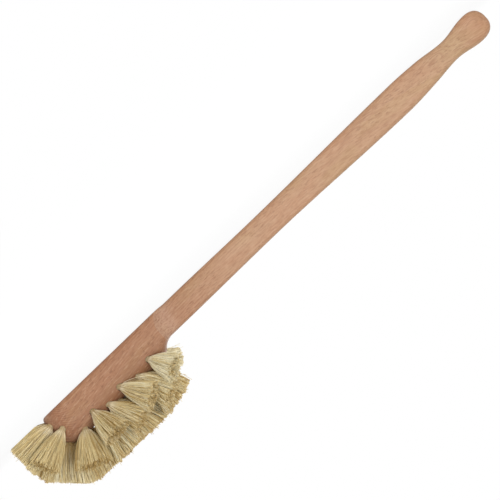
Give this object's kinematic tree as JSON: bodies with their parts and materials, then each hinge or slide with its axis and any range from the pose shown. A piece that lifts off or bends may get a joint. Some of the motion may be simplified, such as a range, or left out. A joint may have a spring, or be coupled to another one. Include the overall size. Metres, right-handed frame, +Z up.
{
  "type": "bottle brush",
  "caption": "Long-handled wooden bottle brush: slim one-piece handle with a knob, and a deeper head with plant-fibre tufts fanned round its keel, sides and nose.",
  "frame": {"origin": "middle of the flat back of the head, which the brush rests on", "axes": "+X along the brush from the nose of the head to the knob, +Y across it, +Z up from the flat back through the keel to the fibres"},
  "size_m": [0.4503, 0.071, 0.0583],
  "materials": {
    "beech": "fine-sanded and lightly oiled, with a dull sheen",
    "plant_fibre": "dry, matte plant fibre",
    "anchor_steel": "drawn flat wire"
  },
  "bodies": {
    "root": {"beech_body": "beech", "tuft_side_heel_left": "plant_fibre", "tuft_side_heel_right": "plant_fibre", "tuft_side_middle_left": "plant_fibre", "tuft_side_middle_right": "plant_fibre", "tuft_side_front_left": "plant_fibre", "tuft_side_front_right": "plant_fibre", "tuft_flank_heel_left": "plant_fibre", "tuft_flank_heel_right": "plant_fibre", "tuft_flank_middle_left": "plant_fibre", "tuft_flank_middle_right": "plant_fibre", "tuft_flank_front_left": "plant_fibre", "tuft_flank_front_right": "plant_fibre", "tuft_low_heel_left": "plant_fibre", "tuft_low_heel_right": "plant_fibre", "tuft_low_middle_left": "plant_fibre", "tuft_low_middle_right": "plant_fibre", "tuft_low_front_left": "plant_fibre", "tuft_low_front_right": "plant_fibre", "tuft_keel_heel": "plant_fibre", "tuft_keel_middle": "plant_fibre", "tuft_keel_fore": "plant_fibre", "tuft_keel_front": "plant_fibre", "tuft_nose_side_left": "plant_fibre", "tuft_nose_side_right": "plant_fibre", "tuft_nose_tip_left": "plant_fibre", "tuft_nose_tip_right": "plant_fibre", "tuft_nose_front": "plant_fibre", "tuft_nose_under": "plant_fibre", "anchor_side_heel_left": "anchor_steel", "anchor_side_heel_right": "anchor_steel", "anchor_side_middle_left": "anchor_steel", "anchor_side_middle_right": "anchor_steel", "anchor_side_front_left": "anchor_steel", "anchor_side_front_right": "anchor_steel", "anchor_flank_heel_left": "anchor_steel", "anchor_flank_heel_right": "anchor_steel", "anchor_flank_middle_left": "anchor_steel", "anchor_flank_middle_right": "anchor_steel", "anchor_flank_front_left": "anchor_steel", "anchor_flank_front_right": "anchor_steel", "anchor_low_heel_left": "anchor_steel", "anchor_low_heel_right": "anchor_steel", "anchor_low_middle_left": "anchor_steel", "anchor_low_middle_right": "anchor_steel", "anchor_low_front_left": "anchor_steel", "anchor_low_front_right": "anchor_steel", "anchor_keel_heel": "anchor_steel", "anchor_keel_middle": "anchor_steel", "anchor_keel_fore": "anchor_steel", "anchor_keel_front": "anchor_steel", "anchor_nose_side_left": "anchor_steel", "anchor_nose_side_right": "anchor_steel", "anchor_nose_tip_left": "anchor_steel", "anchor_nose_tip_right": "anchor_steel", "anchor_nose_front": "anchor_steel", "anchor_nose_under": "anchor_steel"}
  },
  "joints": []
}
